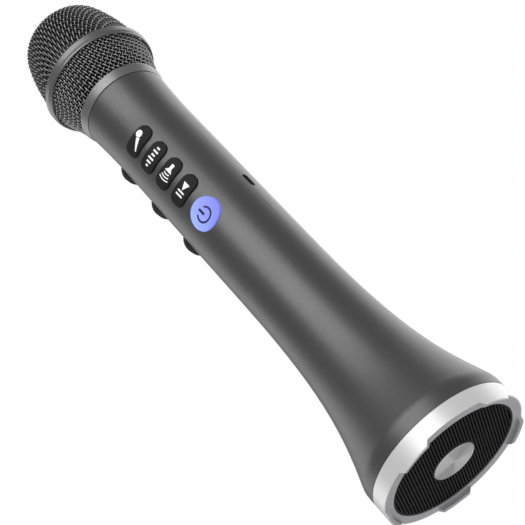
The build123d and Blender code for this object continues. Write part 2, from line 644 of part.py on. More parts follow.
with BuildPart() as mic_capsule:
    revolve(outline((0, CAPSULE_Z[0]), (CAPSULE_R, CAPSULE_Z[0]), (CAPSULE_R, 252.0), (CAPSULE_R + 0.8, 252.6),
                    (CAPSULE_R + 0.8, 255.2), (CAPSULE_R, CAPSULE_Z[1]), (8.6, CAPSULE_Z[1]), (8.6, 255.0),
                    (0, 255.0)), axis=Axis.Z)
    with BuildSketch(Plane.XY.offset(254.2)):
        with PolarLocations(5.4, 8):
            Circle(1.1)
        Circle(1.4)
    extrude(amount=1.0, mode=Mode.SUBTRACT)
save(mic_capsule, "mic_capsule")

# ================================================================ head
# ---- collar that screws on the neck
SLEEVE_R = 18.8
SLEEVE_TOP = 230.0
with BuildPart() as head_collar:
    revolve(outline((THREAD_R + THREAD_GAP, COLLAR_BOTTOM), (NECK_R, COLLAR_BOTTOM),
                    (NECK_R + 0.08, COLLAR_BOTTOM + 0.12), (COLLAR_R, COLLAR_TOP - 0.3),
                    (COLLAR_R, COLLAR_TOP), (SLEEVE_R, COLLAR_TOP), (SLEEVE_R, SLEEVE_TOP),
                    (THREAD_R + THREAD_GAP, SLEEVE_TOP)), axis=Axis.Z)
save(head_collar, "head_collar")

# ---- lower mesh: a cone that flares from the collar to the band
CUP_TOP = BAND_BOTTOM + 0.4
CUP_TOP_R = DOME_R
CUP_MIDDLE = (22.75, 232.6)
with BuildPart() as mesh_cup:
    with BuildSketch(Plane.XZ):
        with BuildLine():
            ThreePointArc((CUP_FOOT_R, COLLAR_TOP), CUP_MIDDLE, (CUP_TOP_R, CUP_TOP))
            Polyline((CUP_TOP_R, CUP_TOP), (CUP_TOP_R, DOME_START - 0.1),
                     (CUP_TOP_R - MESH_T, DOME_START - 0.1), (CUP_TOP_R - MESH_T, CUP_TOP))
            ThreePointArc((CUP_TOP_R - MESH_T, CUP_TOP), (CUP_MIDDLE[0] - MESH_T, CUP_MIDDLE[1]),
                          (CUP_FOOT_R - MESH_T, COLLAR_TOP))
            Line((CUP_FOOT_R - MESH_T, COLLAR_TOP), (CUP_FOOT_R, COLLAR_TOP))
        make_face()
    revolve(axis=Axis.Z)
save(mesh_cup, "mesh_cup")

with BuildPart() as head_band:
    revolve(outline((DOME_R, BAND_BOTTOM + 0.5), (DOME_R + 0.25, BAND_BOTTOM), (DOME_R + 0.7, BAND_BOTTOM),
                    (DOME_R + 0.8, BAND_BOTTOM + 0.5), (BAND_R - 0.1, BAND_BOTTOM + 1.5),
                    (BAND_R, BAND_TOP - 1), (DOME_R + 0.6, BAND_TOP), (DOME_R, BAND_TOP)), axis=Axis.Z)
    fillet(head_band.edges().filter_by(GeomType.CIRCLE).group_by(SortBy.RADIUS)[-1], radius=0.35)
save(head_band, "head_band")

# ---- upper mesh: side, shoulder and crown are three tangent arcs
SIDE_R = 86.0            # radius of the side arc
SIDE_TURN = 17.5         # how far the side arc turns, in degrees
SHOULDER_R = 12.4
CROWN_HALF = 28.6        # half angle of the crown
DOME_FOOT = 244.6        # where the side arc starts, upright


def dome_face(depth_out, thickness, foot):
    """Half section of a dome shell that starts depth_out inside the dome's outer line."""
    sections = []
    for depth in (depth_out, depth_out + thickness):
        side = SIDE_R - depth
        shoulder = SHOULDER_R - depth
        side_centre = (DOME_R - SIDE_R, DOME_FOOT)
        t = radians(SIDE_TURN)
        shoulder_centre = (side_centre[0] + (SIDE_R - SHOULDER_R) * cos(t),
                           side_centre[1] + (SIDE_R - SHOULDER_R) * sin(t))
        crown_start = 90 - CROWN_HALF
        t2 = radians(crown_start)
        x2 = shoulder_centre[0] + shoulder * cos(t2)
        crown = x2 / cos(t2)
        crown_centre = (0, shoulder_centre[1] + shoulder * sin(t2) - crown * sin(t2))
        sections.append((side, side_centre, shoulder, shoulder_centre, crown, crown_centre))
    with BuildSketch(Plane.XZ) as face:
        with BuildLine():
            ends = []
            for side, side_centre, shoulder, shoulder_centre, crown, crown_centre in sections:
                CenterArc(side_centre, side, 0, SIDE_TURN)
                CenterArc(shoulder_centre, shoulder, SIDE_TURN, 90 - CROWN_HALF - SIDE_TURN)
                CenterArc(crown_centre, crown, 90 - CROWN_HALF, CROWN_HALF)
                ends.append(((side_centre[0] + side, DOME_FOOT), (0, crown_centre[1] + crown)))
            (outer_foot, outer_top), (inner_foot, inner_top) = ends
            Line(outer_top, inner_top)
            Polyline(outer_foot, (outer_foot[0], foot), (inner_foot[0], foot), inner_foot)
        make_face()
    return face.sketch


with BuildPart() as mesh_dome:
    revolve(dome_face(0, MESH_T, DOME_START), axis=Axis.Z)
save(mesh_dome, "mesh_dome")

FOAM_T = 2.4
with BuildPart() as foam_liner:
    revolve(dome_face(MESH_T + 0.1, FOAM_T, DOME_START), axis=Axis.Z)
    revolve(outline((CUP_TOP_R - MESH_T - 0.1, DOME_START), (CUP_TOP_R - MESH_T - 0.2, CUP_TOP),
                    (20.9, 231.0), (18.4, 231.0), (CUP_TOP_R - MESH_T - 0.1 - FOAM_T, DOME_START)),
            axis=Axis.Z)
save(foam_liner, "foam_liner")


# ================================================================ leads inside the handle
def lead(points, radii, radius, name):
    """A lead of round section along straight runs joined by tangent arcs."""
    with BuildPart() as wire:
        with BuildLine() as route:
            FilletPolyline(*points, radius=radii)
        path = route.wires()[0]
        with BuildSketch(Plane(origin=points[0], z_dir=path % 0)):
            Circle(radius)
        sweep(path=path)
    length = path.length
    print(f"{name}: length {length:.1f}, volume ratio {wire.part.volume / (pi * radius ** 2 * length):.4f}")
    save(wire, name)


lead([(0, 0, 236.0), (0, 0, 214.5), (0, -9.8, 206.0), (0, -9.8, 199.0)], [9.0, 6.0], 0.9, "capsule_lead")
lead([(4, CELL_Y, CELL_Z[1] + 2.2), (4, CELL_Y, 127.5), (4, BOARD_Y[1], 127.5)], [4.0], 0.7, "battery_lead")
lead([(12.5, -9.8, 28.5), (8, -9.8, 41.0), (8, -9.8, 60.0), (6, -9.8, 92.0), (6, -9.8, BOARD_Z[0])],
     [12.0, 150.0, 150.0], 0.8, "speaker_lead")
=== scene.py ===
import math

import bmesh
import bpy
import numpy as np
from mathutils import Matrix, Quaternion, Vector


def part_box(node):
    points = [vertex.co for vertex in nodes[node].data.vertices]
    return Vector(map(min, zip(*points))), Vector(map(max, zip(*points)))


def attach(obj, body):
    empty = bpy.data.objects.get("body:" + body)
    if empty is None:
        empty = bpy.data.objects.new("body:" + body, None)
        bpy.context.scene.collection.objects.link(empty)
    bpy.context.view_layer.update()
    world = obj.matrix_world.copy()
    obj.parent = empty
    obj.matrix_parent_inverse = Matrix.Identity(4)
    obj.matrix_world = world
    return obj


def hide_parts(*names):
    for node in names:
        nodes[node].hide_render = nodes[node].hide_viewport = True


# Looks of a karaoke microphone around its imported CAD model. Metres, +Z up, head at the top.
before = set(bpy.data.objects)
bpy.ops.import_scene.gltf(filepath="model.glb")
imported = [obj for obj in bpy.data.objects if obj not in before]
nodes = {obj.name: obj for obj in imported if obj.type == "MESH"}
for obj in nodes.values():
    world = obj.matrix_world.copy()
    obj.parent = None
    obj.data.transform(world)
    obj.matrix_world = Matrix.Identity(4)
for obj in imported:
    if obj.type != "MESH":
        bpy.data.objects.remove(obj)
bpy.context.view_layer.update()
MM = 0.001


# ================================================================ view and light
CAMERA_AZIMUTH = -72.2          # degrees, from the microphone towards the camera
CAMERA_ELEVATION = -32.16
CAMERA_ROLL = -42.72
CAMERA_DISTANCE = 0.5556
CAMERA_AIM = Vector((-0.00205, -0.00066, 0.1159))
LENS = 96.92                    # focal length and sensor width, in mm
SENSOR = 36.0
CENTRE = Vector((0.0, 0.0, 0.14))   # the lights point here
WHITE = (1.0, 1.0, 1.0, 1.0)


def direction(azimuth, elevation):
    """The unit vector of two angles in degrees."""
    a = math.radians(azimuth)
    e = math.radians(elevation)
    return Vector((math.cos(a) * math.cos(e), math.sin(a) * math.cos(e), math.sin(e)))


def add_camera():
    """The camera at the photograph's viewing angle: it looks up at the base."""
    data = bpy.data.cameras.new("camera")
    data.lens = LENS
    data.sensor_width = SENSOR
    data.clip_start = 0.01
    camera = bpy.data.objects.new("camera", data)
    bpy.context.scene.collection.objects.link(camera)
    towards = direction(CAMERA_AZIMUTH, CAMERA_ELEVATION)
    roll = Quaternion((0.0, 0.0, 1.0), math.radians(CAMERA_ROLL))
    camera.location = CAMERA_AIM + towards * CAMERA_DISTANCE
    camera.rotation_euler = (towards.to_track_quat("Z", "Y") @ roll).to_euler()
    bpy.context.scene.camera = camera


def softbox(name, azimuth, elevation, distance, width, height, power):
    """A rectangular studio lamp that points at the microphone, its place given in degrees and metres."""
    towards = direction(azimuth, elevation)
    data = bpy.data.lights.new(name, "AREA")
    data.shape = "RECTANGLE"
    data.size = width
    data.size_y = height
    data.energy = power
    lamp = bpy.data.objects.new(name, data)
    bpy.context.scene.collection.objects.link(lamp)
    lamp.location = CENTRE + towards * distance
    lamp.rotation_euler = towards.to_track_quat("Z", "Y").to_euler()
    lamp.visible_camera = False


def add_world(backdrop, ambient):
    """A white backdrop, and a weaker even light from all round."""
    world = bpy.data.worlds.new("studio")
    bpy.context.scene.world = world
    world.use_nodes = True
    tree = world.node_tree
    tree.nodes.clear()
    path = tree.nodes.new("ShaderNodeLightPath")
    seen = tree.nodes.new("ShaderNodeBackground")
    seen.inputs["Strength"].default_value = backdrop
    lit = tree.nodes.new("ShaderNodeBackground")
    lit.inputs["Strength"].default_value = ambient
    for node in (seen, lit):
        node.inputs["Color"].default_value = WHITE
    mix = tree.nodes.new("ShaderNodeMixShader")
    out = tree.nodes.new("ShaderNodeOutputWorld")
    tree.links.new(path.outputs["Is Camera Ray"], mix.inputs[0])
    tree.links.new(lit.outputs[0], mix.inputs[1])
    tree.links.new(seen.outputs[0], mix.inputs[2])
    tree.links.new(mix.outputs[0], out.inputs["Surface"])


add_camera()
bpy.context.scene.view_settings.view_transform = "Standard"
add_world(backdrop=1.0, ambient=0.29)
softbox("key", -74, 26, 1.5, 1.35, 0.95, 9.2)
softbox("rim_right", 62, 30, 1.6, 1.5, 1.8, 12)
softbox("rim_left", 168, 30, 1.6, 1.1, 1.8, 5.5)
softbox("low_fill", -70, -55, 1.4, 1.0, 1.0, 2)


# ================================================================ materials
def colour(value, tint=(1.0, 1.0, 1.0)):
    """A grey of that value, or a tinted one."""
    return (value * tint[0], value * tint[1], value * tint[2], 1.0)


LATHE_STRETCH = (0.003, 1.0, 1.0)   # a lathe line runs on round the axis, and is fine along it


class Finish:
    """A Principled material whose colour, roughness and bump come from procedural nodes."""

    def __init__(self, name, metallic=0.0, specular=0.5):
        self.material = bpy.data.materials.new(name)
        self.material.use_nodes = True
        self.tree = self.material.node_tree
        self.shader = self.tree.nodes["Principled BSDF"]
        self.shader.inputs["Metallic"].default_value = metallic
        self.shader.inputs["Specular IOR Level"].default_value = specular
        self.place = self.node("ShaderNodeTexCoord").outputs["Object"]
        self.normal = None

    def node(self, kind, **values):
        """A new shader node, with those properties set."""
        made = self.tree.nodes.new(kind)
        for key, value in values.items():
            setattr(made, key, value)
        return made

    def link(self, output, socket):
        """Joins an output to a socket."""
        self.tree.links.new(output, socket)

    def noise(self, size, detail=2.0, stretch=(1.0, 1.0, 1.0), place=None):
        """Noise whose lumps are about `size` mm wide, between 0 and 1."""
        mapping = self.node("ShaderNodeMapping")
        mapping.inputs["Scale"].default_value = stretch
        self.link(place or self.place, mapping.inputs["Vector"])
        made = self.node("ShaderNodeTexNoise")
        made.inputs["Scale"].default_value = 1.0 / (size * MM)
        made.inputs["Detail"].default_value = detail
        self.link(mapping.outputs[0], made.inputs["Vector"])
        return made.outputs[0]

    def cells(self, size):
        """Distance from the middle of the nearest cell, for cells about `size` mm wide."""
        made = self.node("ShaderNodeTexVoronoi")
        made.inputs["Scale"].default_value = 1.0 / (size * MM)
        self.link(self.place, made.inputs["Vector"])
        return made.outputs["Distance"]

    def maths(self, operation, first, second=0.0):
        """The result of a Math node; each operand is a number or another node's output."""
        made = self.node("ShaderNodeMath", operation=operation)
        for socket, value in zip(made.inputs, (first, second)):
            if isinstance(value, (int, float)):
                socket.default_value = value
            else:
                self.link(value, socket)
        return made.outputs[0]

    def spread(self, value, low, high, start=0.3, end=0.7):
        """A value between start and end becomes one between low and high."""
        made = self.node("ShaderNodeMapRange")
        self.link(value, made.inputs["Value"])
        for name, number in (("From Min", start), ("From Max", end), ("To Min", low), ("To Max", high)):
            made.inputs[name].default_value = number
        return made.outputs[0]

    def blend(self, value, first, second):
        """The first colour where the value is 0, and the second where it is 1."""
        made = self.node("ShaderNodeMix", data_type="RGBA")
        self.link(value, made.inputs["Factor"])
        for socket, tone in ((made.inputs["A"], first), (made.inputs["B"], second)):
            if isinstance(tone, tuple):
                socket.default_value = tone
            else:
                self.link(tone, socket)
        return made.outputs["Result"]

    def split(self, place):
        """The three coordinates of a place."""
        made = self.node("ShaderNodeSeparateXYZ")
        self.link(place, made.inputs[0])
        return made.outputs

    def polar(self):
        """Coordinates (angle, radius, height) about the microphone's axis; a full turn is 1."""
        x, y, z = self.split(self.place)
        turn = self.maths("DIVIDE", self.maths("ARCTAN2", y, x), 2 * math.pi)
        squares = self.maths("ADD", self.maths("MULTIPLY", x, x), self.maths("MULTIPLY", y, y))
        joined = self.node("ShaderNodeCombineXYZ")
        for value, socket in zip((turn, self.maths("SQRT", squares), z), joined.inputs):
            self.link(value, socket)
        return joined.outputs[0]

    def lathe_lines(self, size, depth):
        """Fine lines that run round the axis, as a value and as a relief, with both sizes in mm."""
        lines = self.noise(size, 3.0, LATHE_STRETCH, self.polar())
        self.bump(lines, depth)
        return lines

    def bump(self, height, depth):
        """Adds a relief to the surface, `depth` mm deep."""
        made = self.node("ShaderNodeBump")
        made.inputs["Distance"].default_value = depth * MM
        made.inputs["Strength"].default_value = 1.0
        self.link(height, made.inputs["Height"])
        if self.normal is not None:
            self.link(self.normal, made.inputs["Normal"])
        self.normal = made.outputs[0]

    def glow(self, tone, strength):
        """Makes the surface shine in a colour, which is a constant or another node's output."""
        socket = self.shader.inputs["Emission Color"]
        if isinstance(tone, tuple):
            socket.default_value = tone
        else:
            self.link(tone, socket)
        self.shader.inputs["Emission Strength"].default_value = strength

    def done(self, base, rough):
        """Connects the colour and the roughness, and returns the material."""
        self.link(base, self.shader.inputs["Base Color"])
        self.link(rough, self.shader.inputs["Roughness"])
        if self.normal is not None:
            self.link(self.normal, self.shader.inputs["Normal"])
        return self.material


def grained(name, dark, light, rough, grain, depth, metallic=0.0, specular=0.5, tint=(1, 1, 1)):
    """Moulded or cast surface: fine grain, a slow change of tone and an uneven gloss. Sizes in mm."""
    f = Finish(name, metallic, specular)
    fine = f.noise(grain, 3.0)
    slow = f.noise(20)
    tone = f.blend(f.spread(slow, 0.0, 1.0), colour(dark, tint), colour(light, tint))
    speck = f.blend(f.spread(fine, 0.0, 1.0), colour(dark, tint), colour(light, tint))
    mixed = f.blend(f.spread(slow, 0.35, 0.65), tone, speck)
    f.bump(fine, depth)
    return f.done(mixed, f.spread(slow, rough - 0.04, rough + 0.04))


def shell_paint():
    """Dark grey metallic paint: flakes in the colour and a satin clear coat."""
    f = Finish("shell_paint", metallic=0.82)
    flakes = f.cells(0.22)
    slow = f.noise(30)
    tone = f.blend(f.spread(flakes, 0.0, 1.0, 0.1, 0.8), colour(0.165), colour(0.125))
    f.bump(f.noise(0.4, 2.0), 0.006)
    f.shader.inputs["Coat Weight"].default_value = 0.12
    f.shader.inputs["Coat Roughness"].default_value = 0.28
    return f.done(tone, f.spread(slow, 0.39, 0.43))


def turned_metal(name, dark, light, low, high, line, depth, metallic=1.0):
    """Metal with fine lathe lines around the axis, in mm, and a roughness from low to high."""
    f = Finish(name, metallic)
    lines = f.lathe_lines(line, depth)
    tone = f.blend(f.spread(lines, 0.0, 1.0), colour(dark), colour(light))
    return f.done(tone, f.spread(f.noise(20), low, high))


TAB_RISE = 2.1 * MM             # from the ring's tabs up to its end face
COOL = (1.0, 1.0, 1.03)


def ring_metal():
    """Bright silver ring with lathe lines; its end face, between the tabs, is painted darker as shade."""
    f = Finish("ring_metal", metallic=0.40)
    lines = f.lathe_lines(0.15, 0.005)
    slow = f.noise(20)
    radius, height = f.split(f.polar())[1:]
    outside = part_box("base_ring")[1].x
    inner = f.spread(radius, 1.0, 0.0, outside - 0.6 * MM, outside - 0.1 * MM)
    lower = f.spread(height, 1.0, 0.0, TAB_RISE - 0.3 * MM, TAB_RISE + 0.3 * MM)
    bright = f.blend(f.spread(lines, 0.0, 1.0), colour(0.93), colour(0.99))
    # Painted shade: the downward end face between the tabs gets a darker, cooler colour than the polished
    # sides.
    painted_shade = f.blend(f.spread(slow, 0.0, 1.0), colour(0.42, COOL), colour(0.49, COOL))
    return f.done(f.blend(f.maths("MULTIPLY", inner, lower), bright, painted_shade), f.spread(slow, 0.36, 0.42))


COLLAR_RISE = 4.2 * MM          # from the collar's foot up to its shoulder, where the sleeve begins


def collar_metal():
    """Grey turned collar; its sleeve, behind the net, is painted near black as painted shade."""
    f = Finish("collar_metal", metallic=0.9)
    lines = f.lathe_lines(0.2, 0.006)
    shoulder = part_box("head_collar")[0].z + COLLAR_RISE
    # Painted shade: above the shoulder the sleeve is painted near black, for the dark seen between the
    # net's wires.
    sleeve_shade = f.spread(f.split(f.place)[2], 0.0, 1.0, shoulder, shoulder + 0.2 * MM)
    bright = f.blend(f.spread(lines, 0.0, 1.0), colour(0.27), colour(0.34))
    return f.done(f.blend(sleeve_shade, bright, colour(0.004)), f.spread(f.noise(20), 0.38, 0.44))


BADGE_SHEEN_TURN = 3.7                # direction of the badge's painted highlight sectors


def badge_metal():
    """A spun disc: rings round its middle, and light and dark sectors painted into its colour as highlight
    and shade.
    """
    f = Finish("badge_metal", metallic=0.95)
    lines = f.lathe_lines(0.1, 0.006)
    # Painted highlight and shade: light and dark sectors by angle round the middle, in place of the spun
    # metal's reflections.
    turn = f.maths("MULTIPLY", f.split(f.polar())[0], 2 * math.pi)
    wide = f.maths("COSINE", f.maths("ADD", f.maths("MULTIPLY", turn, 2), BADGE_SHEEN_TURN))
    fine = f.maths("MULTIPLY", f.maths("SINE", f.maths("MULTIPLY", turn, 7)), 0.25)
    sheen_sectors = f.spread(f.maths("ADD", wide, fine), 0.0, 1.0, -0.9, 0.9)
    tone = f.blend(sheen_sectors, colour(0.38), colour(0.70))
    mixed = f.blend(f.spread(lines, 0.0, 0.25), tone, colour(0.8))
    return f.done(mixed, f.spread(lines, 0.30, 0.38))


def mesh_wire():
    """Grey coated steel wire, with a painted highlight on the crowns and painted shade on the sides and
    where the wires dip.
    """
    f = Finish("mesh_wire", metallic=0.85)
    fine = f.noise(0.5)
    slow = f.noise(12)
    # Painted highlight: how brightly each point is painted, highest on the crowns; where it is low the wire
    # keeps its dark colour as painted shade.
    painted_sheen = f.node("ShaderNodeAttribute", attribute_name="painted_sheen").outputs["Fac"]
    wire_in_shade = f.blend(f.spread(fine, 0.0, 1.0), colour(0.07), colour(0.12))
    bright = f.blend(f.spread(fine, 0.0, 1.0), colour(0.46), colour(0.62))
    f.bump(fine, 0.01)
    return f.done(f.blend(f.spread(painted_sheen, 0.0, 1.0, 0.25, 0.95), wire_in_shade, bright), f.spread(slow, 0.30, 0.38))


def foam():
    """Open-cell foam."""
    f = Finish("foam", specular=0.2)
    cells = f.cells(0.7)
    pores = f.noise(0.3, 4.0)
    tone = f.blend(f.spread(cells, 0.0, 1.0, 0.1, 0.7), colour(0.010), colour(0.026))
    f.bump(cells, 0.3)
    f.bump(pores, 0.1)
    return f.done(tone, f.spread(pores, 0.9, 1.0))


def woven_cloth():
    """Black acoustic cloth: a plain weave of fine threads."""
    f = Finish("cloth_black", specular=0.2)
    waves = []
    for across in ("X", "Y"):
        wave = f.node("ShaderNodeTexWave", bands_direction=across)
        wave.inputs["Scale"].default_value = 500.0       # threads 0.63 mm apart
        wave.inputs["Distortion"].default_value = 0.4
        f.link(f.place, wave.inputs["Vector"])
        waves.append(wave.outputs["Color"])
    threads = f.maths("MAXIMUM", waves[0], waves[1])
    f.bump(threads, 0.1)
    tone = f.blend(threads, colour(0.012), colour(0.035))
    return f.done(tone, f.spread(threads, 0.75, 0.95))


def power_lens():
    """Translucent lens with the light of its two lamps behind it."""
    f = Finish("power_lens")
    low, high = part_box("power_button")
    x, _, z = f.split(f.place)
    across = f.spread(x, 0.0, 0.8, low.x, high.x)
    down = f.spread(z, 0.3, -0.1, low.z, high.z)
    cloudy = f.maths("ADD", f.maths("ADD", across, down), f.maths("MULTIPLY", f.noise(6), 0.2))
    f.glow(f.blend(cloudy, (0.44, 0.58, 1.0, 1.0), (0.17, 0.18, 1.0, 1.0)), 0.82)
    fine = f.noise(0.3)
    f.bump(fine, 0.004)
    return f.done(f.blend(fine, (0.10, 0.12, 0.5, 1.0), (0.12, 0.15, 0.6, 1.0)), f.spread(fine, 0.42, 0.52))


def symbol_print():
    """White printed symbols, let through a little light from behind the keys."""
    f = Finish("icon_print")
    fine = f.noise(0.2)
    f.bump(fine, 0.004)
    f.glow(WHITE, 0.3)
    return f.done(f.blend(fine, colour(0.90), colour(0.96)), f.spread(fine, 0.45, 0.55))


def wound_copper():
    """Enamelled copper turns of the voice coil."""
    f = Finish("coil_copper", metallic=1.0)
    wave = f.node("ShaderNodeTexWave", bands_direction="Z")
    wave.inputs["Scale"].default_value = 900.0           # turns 0.35 mm apart
    f.link(f.place, wave.inputs["Vector"])
    f.bump(wave.outputs["Color"], 0.1)
    tone = f.blend(wave.outputs["Color"], (0.30, 0.10, 0.04, 1.0), (0.80, 0.36, 0.18, 1.0))
    return f.done(tone, f.spread(f.noise(1), 0.25, 0.4))


# By the names of the CAD model's material slots.
FINISHES = {
    "shell_paint": shell_paint(),
    "collar_metal": collar_metal(),
    "band_metal": turned_metal("band_metal", 0.22, 0.29, 0.34, 0.40, 0.2, 0.005, metallic=0.9),
    "mesh_wire": mesh_wire(),
    "ring_metal": ring_metal(),
    "badge_metal": badge_metal(),
    "grille_black": grained("grille_black", 0.004, 0.007, 0.50, 0.3, 0.02, specular=0.12),
    "key_black": grained("key_black", 0.010, 0.018, 0.60, 0.2, 0.02, specular=0.3),
    "wheel_black": grained("wheel_black", 0.016, 0.028, 0.62, 0.4, 0.06, specular=0.35),
    "power_lens": power_lens(),
    "icon_print": symbol_print(),
    "icon_navy": grained("icon_navy", 0.018, 0.03, 0.50, 0.2, 0.004, tint=(0.7, 0.8, 3.6)),
    "foam": foam(),
    "rubber_black": grained("rubber_black", 0.010, 0.018, 0.75, 0.4, 0.04),
    "structure_black": grained("structure_black", 0.018, 0.028, 0.48, 0.6, 0.03),
    "board_green": grained("board_green", 0.06, 0.09, 0.38, 1.2, 0.03, tint=(0.25, 1.0, 0.45)),
    "chip_black": grained("chip_black", 0.014, 0.022, 0.45, 0.3, 0.02),
    "steel": grained("steel", 0.50, 0.62, 0.28, 0.5, 0.01, metallic=1.0),
    "socket_steel": grained("socket_steel", 0.42, 0.55, 0.30, 0.4, 0.01, metallic=1.0),
    "magnet_ferrite": grained("magnet_ferrite", 0.05, 0.09, 0.55, 0.5, 0.03, metallic=0.3),
    "cone_paper": grained("cone_paper", 0.02, 0.035, 0.85, 0.8, 0.1),
    "coil_copper": wound_copper(),
    "cell_wrap": grained("cell_wrap", 0.28, 0.36, 0.35, 4, 0.03, tint=(0.25, 0.5, 1.0)),
    "cloth_black": woven_cloth(),
    "capsule_metal": turned_metal("capsule_metal", 0.40, 0.52, 0.28, 0.36, 0.2, 0.01),
    "lead_black": grained("lead_black", 0.012, 0.02, 0.5, 0.6, 0.02),
    "led_white": grained("led_white", 0.75, 0.85, 0.4, 0.4, 0.01),
}
for node in nodes.values():
    for slot in node.material_slots:
        slot.material = FINISHES[slot.material.name.split(".")[0]]


# ================================================================ mesh building
def new_piece(name, slot, body, vertices, faces):
    """A smooth mesh object with its finish, riding on a body."""
    mesh = bpy.data.meshes.new(name)
    mesh.from_pydata(vertices, [], faces)
    mesh.validate()
    piece = bpy.data.objects.new(name, mesh)
    bpy.context.scene.collection.objects.link(piece)
    mesh.materials.append(FINISHES[slot])
    mesh.shade_smooth()
    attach(piece, body)
    return piece


def lathe(name, slot, body, outline, segments=96):
    """A closed solid of revolution from (radius, height) points in metres, given round the section."""
    vertices = []
    faces = []
    count = len(outline)
    for i in range(segments):
        a = 2 * math.pi * i / segments
        vertices.extend((r * math.cos(a), r * math.sin(a), z) for r, z in outline)
    for i in range(segments):
        j = (i + 1) % segments
        for k in range(count):
            m = (k + 1) % count
            faces.append((i * count + k, j * count + k, j * count + m, i * count + m))
    return new_piece(name, slot, body, vertices, faces)


def face_outwards(piece, gap=0.0):
    """Turns a closed mesh's faces outwards, after joining points that are less than `gap` apart."""
    bm = bmesh.new()
    bm.from_mesh(piece.data)
    if gap > 0:
        bmesh.ops.remove_doubles(bm, verts=bm.verts, dist=gap)
    bmesh.ops.recalc_face_normals(bm, faces=bm.faces)
    bm.to_mesh(piece.data)
    bm.free()


# ================================================================ woven net
class Meridian:
    """Half section of a turned surface that a square net is drawn over.

    `reach` gives, for a length along the section in mm, how many wires lie between the net's
    middle and that point. `skew` gives how far the net is pulled out of round there, also in
    wires: the pull repeats with every quarter turn.
    """

    def __init__(self, radius, height, reach, skew):
        self.radius = radius
        self.height = height
        arc = np.concatenate([[0.0], np.cumsum(np.hypot(np.diff(radius), np.diff(height)))]) / MM
        self.reach = reach(arc)
        self.skew = skew(arc)
        slope_r = np.gradient(radius)
        slope_z = np.gradient(height)
        length = np.hypot(slope_r, slope_z)
        side = 1.0 if height[0] < height[-1] else -1.0
        self.normal_r = side * slope_z / length
        self.normal_z = -side * slope_r / length

    def at(self, u, v):
        """Points and outward normals for places in the flat net, and which of them lie on the section."""
        flat = u + 1j * v
        arm = flat
        for _ in range(SETTLE):
            skew = np.interp(np.abs(arm), self.reach, self.skew)
            arm = flat - skew * np.exp(-3j * np.angle(arm))
        reach = np.abs(arm)
        r, z, nr, nz = (np.interp(reach, self.reach, values)
                        for values in (self.radius, self.height, self.normal_r, self.normal_z))
        angle = np.angle(arm) + NET_TURN
        c = np.cos(angle)
        s = np.sin(angle)
        held = (reach >= self.reach[0]) & (reach <= self.reach[-1])
        return np.stack([r * c, r * s, z], -1), np.stack([nr * c, nr * s, nz], -1), held


WIRE_R = 0.28 * MM
SETTLE = 12                     # steps that find where a place in the flat net has gone
STEPS = 4                       # rings of a wire's tube from one crossing to the next
SIDES = 6                       # round the tube
NET_TURN = math.radians(-90)    # one set of wires runs straight down the button side


def wire_tube(centres, normals):
    """Vertices and faces of a closed tube along the centres."""
    tangent = np.gradient(centres, axis=0)
    tangent /= np.linalg.norm(tangent, axis=1)[:, None]
    across = np.cross(tangent, normals)
    across /= np.linalg.norm(across, axis=1)[:, None]
    out = np.cross(across, tangent)
    turns = np.arange(SIDES) * 2 * math.pi / SIDES
    rings = (centres[:, None] + WIRE_R * (np.cos(turns)[None, :, None] * across[:, None]
                                          + np.sin(turns)[None, :, None] * out[:, None]))
    count = len(centres)
    faces = []
    for i in range(count - 1):
        for k in range(SIDES):
            j = (k + 1) % SIDES
            faces.append((i * SIDES + k, i * SIDES + j, (i + 1) * SIDES + j, (i + 1) * SIDES + k))
    faces.append(tuple(reversed(range(SIDES))))
    faces.append(tuple(range((count - 1) * SIDES, count * SIDES)))
    return rings.reshape(-1, 3), faces


def woven_net(name, surface, node, waves, painted_sheen):
    """A square net of woven wires, one unit apart, drawn over the surface from flat.

    `waves` is how far each of its two sets of wires rises and falls, and the last argument is how strong a
    highlight is painted on each set's crowns; where it fades the wires keep their dark colour as painted
    shade.
    """
    rows = int(surface.reach[-1] + abs(surface.skew[-1])) + 2      # enough for the widest place
    along = np.arange(-rows * STEPS, rows * STEPS + 1) / STEPS
    vertices = []
    faces = []
    crowns = []
    total = 0
    for wire_set in (0, 1):
        for row in range(-rows, rows):
            across = np.full(len(along), row + 0.5)
            phase = np.cos(math.pi * (along - 0.5) + math.pi * (row + wire_set))
            u, v = (along, across) if wire_set == 0 else (across, along)
            points, normals, held = surface.at(u, v)
            centres = points + normals * (waves[wire_set] * phase - max(waves) - WIRE_R)[:, None]
            # Painted highlight on the crowns, fading to painted shade where the wire dips under the other
            # set.
            crown_sheen = painted_sheen[wire_set] * (1.0 + phase) / 2
            edges = np.flatnonzero(np.diff(np.concatenate([[0], held, [0]])))
            for start, end in zip(edges[::2], edges[1::2]):
                if end - start < STEPS:                 # too short to cross another wire
                    continue
                ring_points, ring_faces = wire_tube(centres[start:end], normals[start:end])
                vertices.append(ring_points)
                crowns.append(np.repeat(crown_sheen[start:end], SIDES))
                faces.extend(tuple(i + total for i in face) for face in ring_faces)
                total += len(ring_points)
    piece = new_piece(name, "mesh_wire", "head", np.concatenate(vertices).tolist(), faces)
    shade = piece.data.attributes.new("painted_sheen", "FLOAT", "POINT")
    shade.data.foreach_set("value", np.concatenate(crowns).astype(np.float32))
    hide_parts(node)


# ================================================================ head (in mm)
DOME_R = 25.35                  # at its foot
DOME_FOOT = 244.6
SIDE_R = 86.0                   # the dome's three arcs: its sides, its shoulder and its crown
SIDE_TURN = 17.5                # degrees that the sides' arc goes through
SHOULDER_R = 12.4
CROWN_HALF = 28.6               # degrees that the crown's arc goes through
NET_FOOT = 243.4                # the dome's net goes in behind the band


